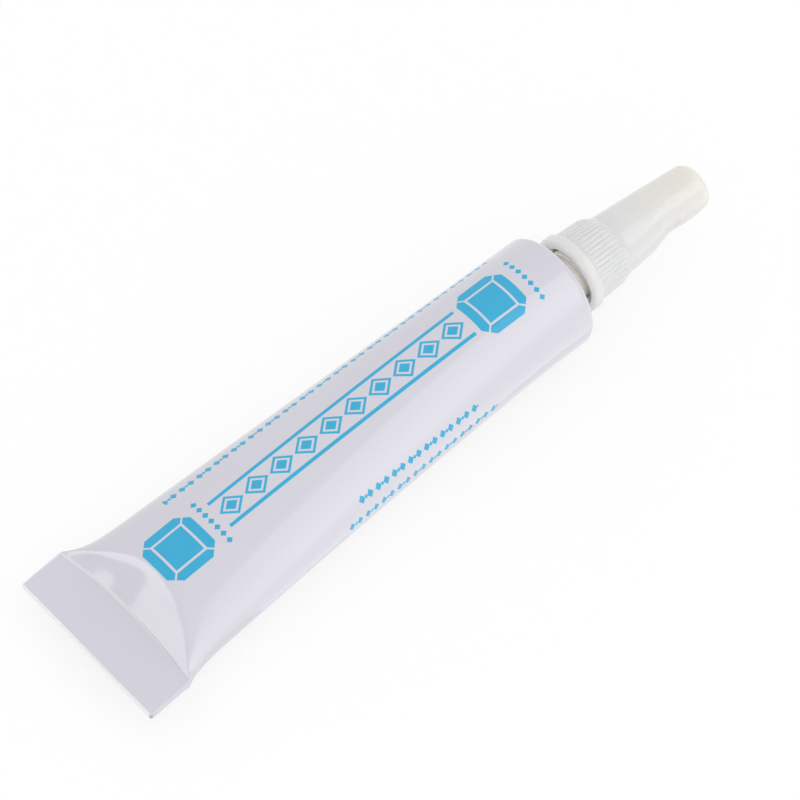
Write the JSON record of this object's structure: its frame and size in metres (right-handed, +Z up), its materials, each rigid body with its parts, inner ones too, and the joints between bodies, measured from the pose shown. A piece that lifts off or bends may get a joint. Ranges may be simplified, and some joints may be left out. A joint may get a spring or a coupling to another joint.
{
  "type": "glue tube",
  "caption": "Round aluminium squeeze tube drawn out to a flat folded tail, with a long ribbed screw cap over a fine dispensing needle.",
  "frame": {"origin": "bottom centre of the bounding box, on the table under the middle of the closed tube", "axes": "+X along the tube's axis from the folded tail to the cap's end, +Z up from the table the tube lies on"},
  "size_m": [0.103, 0.0248, 0.0159],
  "materials": {
    "white_lacquer": "gloss",
    "clear_glue": "gloss",
    "hub_plastic": "satin",
    "needle_steel": "satin",
    "wire_steel": "satin",
    "milky_plastic": "satin"
  },
  "bodies": {
    "tube": {"tube_body": "white_lacquer", "adhesive_fill": "clear_glue", "needle_hub": "hub_plastic", "dispensing_needle": "needle_steel"},
    "cap_pin": {"cap_pin_wire": "wire_steel"},
    "cap": {"screw_cap": "milky_plastic"}
  },
  "joints": [
    {"name": "cap_lift", "type": "slide", "parent": "tube", "child": "cap_pin", "axis": [1, 0, 0], "range_m": [0, 0.02]},
    {"name": "cap_turn", "type": "hinge", "parent": "cap_pin", "child": "cap", "pos_m": [0.02838, 0, 0.00785], "axis": [1, 0, 0], "range_deg": [0, 3601]}
  ],
  "couplings": [
    {"joint": "cap_turn", "follows": "cap_lift", "rad_per_m": 3141.6}
  ]
}
